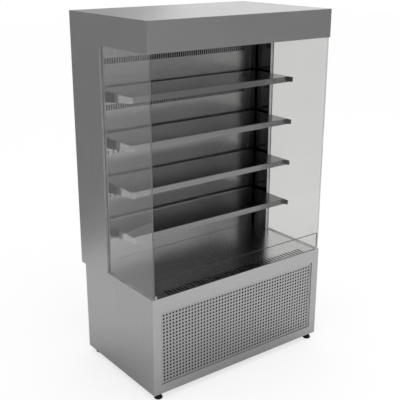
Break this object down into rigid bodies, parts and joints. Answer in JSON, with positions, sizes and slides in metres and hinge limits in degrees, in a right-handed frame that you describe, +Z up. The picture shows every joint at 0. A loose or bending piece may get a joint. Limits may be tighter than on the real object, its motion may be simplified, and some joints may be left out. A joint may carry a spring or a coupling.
{
  "type": "refrigerated display case",
  "caption": "Open-fronted upright refrigerated display case in brushed steel with glazed ends, hooked shelves and a perforated grille over its machinery.",
  "frame": {"origin": "on the floor under the middle of the case, with the feet screwed in", "axes": "+X to the right as seen from the open front, +Y from the front to the back, +Z up"},
  "size_m": [1.2, 0.745, 2],
  "materials": {
    "outer_steel": "satin",
    "inner_steel": "satin",
    "galvanised_sheet": "matte",
    "foam": "matte",
    "bare_aluminium": "satin",
    "opal": "matte",
    "clear_glass": "gloss",
    "black_rubber": "matte",
    "black_plastic": "satin",
    "black_paint": "satin",
    "copper": "satin",
    "grey_plastic": "matte"
  },
  "bodies": {
    "cabinet": {"side_skin_left": "outer_steel", "side_skin_right": "outer_steel", "side_liner_left": "inner_steel", "side_liner_right": "inner_steel", "side_foam_left": "foam", "side_foam_right": "foam", "rear_skin": "outer_steel", "roof_skin": "outer_steel", "inner_liner": "inner_steel", "cabinet_foam": "foam", "tub_skin": "galvanised_sheet", "header_fascia": "outer_steel", "ceiling_panel": "inner_steel", "air_honeycomb": "bare_aluminium", "lamp_housing": "bare_aluminium", "lamp_diffuser": "opal", "back_panel": "inner_steel", "shelf_uprights": "inner_steel", "side_glass_left": "clear_glass", "side_glass_right": "clear_glass", "glass_gaskets": "black_rubber", "front_glass": "clear_glass", "front_frame": "outer_steel", "base_pan": "galvanised_sheet", "rear_cover": "galvanised_sheet", "cable_gland": "black_plastic", "fan_plate": "inner_steel", "evaporator_fan_frame_left": "black_plastic", "evaporator_fan_frame_right": "black_plastic", "evaporator_coil": "bare_aluminium", "condenser_coil": "bare_aluminium", "condenser_fan_frame": "black_paint", "compressor": "black_paint", "refrigerant_pipes": "copper", "drain_pipe": "grey_plastic", "evaporation_tray": "grey_plastic", "electrical_box": "grey_plastic"},
    "deck": {"deck_plate": "inner_steel"},
    "grille": {"grille_panel": "outer_steel"},
    "evaporator_rotor_left": {"evaporator_rotor_left": "black_plastic"},
    "evaporator_rotor_right": {"evaporator_rotor_right": "black_plastic"},
    "condenser_rotor": {"condenser_rotor": "black_plastic"},
    "rocker": {"rocker_switch": "black_plastic"},
    "knob": {"thermostat_knob": "black_plastic"},
    "bracket_pair_1": {"bracket_left_1": "inner_steel", "bracket_right_1": "inner_steel"},
    "shelf_1": {"shelf_1": "inner_steel"},
    "bracket_pair_2": {"bracket_left_2": "inner_steel", "bracket_right_2": "inner_steel"},
    "shelf_2": {"shelf_2": "inner_steel"},
    "bracket_pair_3": {"bracket_left_3": "inner_steel", "bracket_right_3": "inner_steel"},
    "shelf_3": {"shelf_3": "inner_steel"},
    "bracket_pair_4": {"bracket_left_4": "inner_steel", "bracket_right_4": "inner_steel"},
    "shelf_4": {"shelf_4": "inner_steel"},
    "foot_front_left": {"foot_front_left": "black_plastic"},
    "foot_front_right": {"foot_front_right": "black_plastic"},
    "foot_rear_left": {"foot_rear_left": "black_plastic"},
    "foot_rear_right": {"foot_rear_right": "black_plastic"}
  },
  "joints": [
    {"name": "bracket_pair_1_unhook", "type": "slide", "parent": "cabinet", "child": "bracket_pair_1", "axis": [0, 0, 1], "range_m": [0, 0.01]},
    {"name": "shelf_1_draw", "type": "slide", "parent": "bracket_pair_1", "child": "shelf_1", "axis": [0, -1, 0], "range_m": [0, 0.3]},
    {"name": "bracket_pair_2_unhook", "type": "slide", "parent": "cabinet", "child": "bracket_pair_2", "axis": [0, 0, 1], "range_m": [0, 0.01]},
    {"name": "shelf_2_draw", "type": "slide", "parent": "bracket_pair_2", "child": "shelf_2", "axis": [0, -1, 0], "range_m": [0, 0.3]},
    {"name": "bracket_pair_3_unhook", "type": "slide", "parent": "cabinet", "child": "bracket_pair_3", "axis": [0, 0, 1], "range_m": [0, 0.01]},
    {"name": "shelf_3_draw", "type": "slide", "parent": "bracket_pair_3", "child": "shelf_3", "axis": [0, -1, 0], "range_m": [0, 0.3]},
    {"name": "bracket_pair_4_unhook", "type": "slide", "parent": "cabinet", "child": "bracket_pair_4", "axis": [0, 0, 1], "range_m": [0, 0.01]},
    {"name": "shelf_4_draw", "type": "slide", "parent": "bracket_pair_4", "child": "shelf_4", "axis": [0, -1, 0], "range_m": [0, 0.3]},
    {"name": "deck_lift", "type": "slide", "parent": "cabinet", "child": "deck", "axis": [0, 0, 1], "range_m": [0, 0.12]},
    {"name": "grille_draw", "type": "slide", "parent": "cabinet", "child": "grille", "axis": [0, -1, 0], "range_m": [0, 0.25]},
    {"name": "evaporator_rotor_left_spin", "type": "hinge", "parent": "cabinet", "child": "evaporator_rotor_left", "pos_m": [-0.27, 0.2766, 0.66], "axis": [0, 0, 1], "continuous": true},
    {"name": "evaporator_rotor_right_spin", "type": "hinge", "parent": "cabinet", "child": "evaporator_rotor_right", "pos_m": [0.27, 0.2766, 0.66], "axis": [0, 0, 1], "continuous": true},
    {"name": "condenser_rotor_spin", "type": "hinge", "parent": "cabinet", "child": "condenser_rotor", "pos_m": [-0.28, -0.2522, 0.1905], "axis": [0, 1, 0], "continuous": true},
    {"name": "rocker_press", "type": "hinge", "parent": "cabinet", "child": "rocker", "pos_m": [0.383, -0.3085, 0.1605], "axis": [1, 0, 0], "range_deg": [0, 20]},
    {"name": "knob_turn", "type": "hinge", "parent": "cabinet", "child": "knob", "pos_m": [0.487, -0.3105, 0.1605], "axis": [0, 1, 0], "range_deg": [0, 270]},
    {"name": "foot_front_left_level", "type": "slide", "parent": "cabinet", "child": "foot_front_left", "axis": [0, 0, 1], "range_m": [-0.02, 0]},
    {"name": "foot_front_right_level", "type": "slide", "parent": "cabinet", "child": "foot_front_right", "axis": [0, 0, 1], "range_m": [-0.02, 0]},
    {"name": "foot_rear_left_level", "type": "slide", "parent": "cabinet", "child": "foot_rear_left", "axis": [0, 0, 1], "range_m": [-0.02, 0]},
    {"name": "foot_rear_right_level", "type": "slide", "parent": "cabinet", "child": "foot_rear_right", "axis": [0, 0, 1], "range_m": [-0.02, 0]}
  ]
}
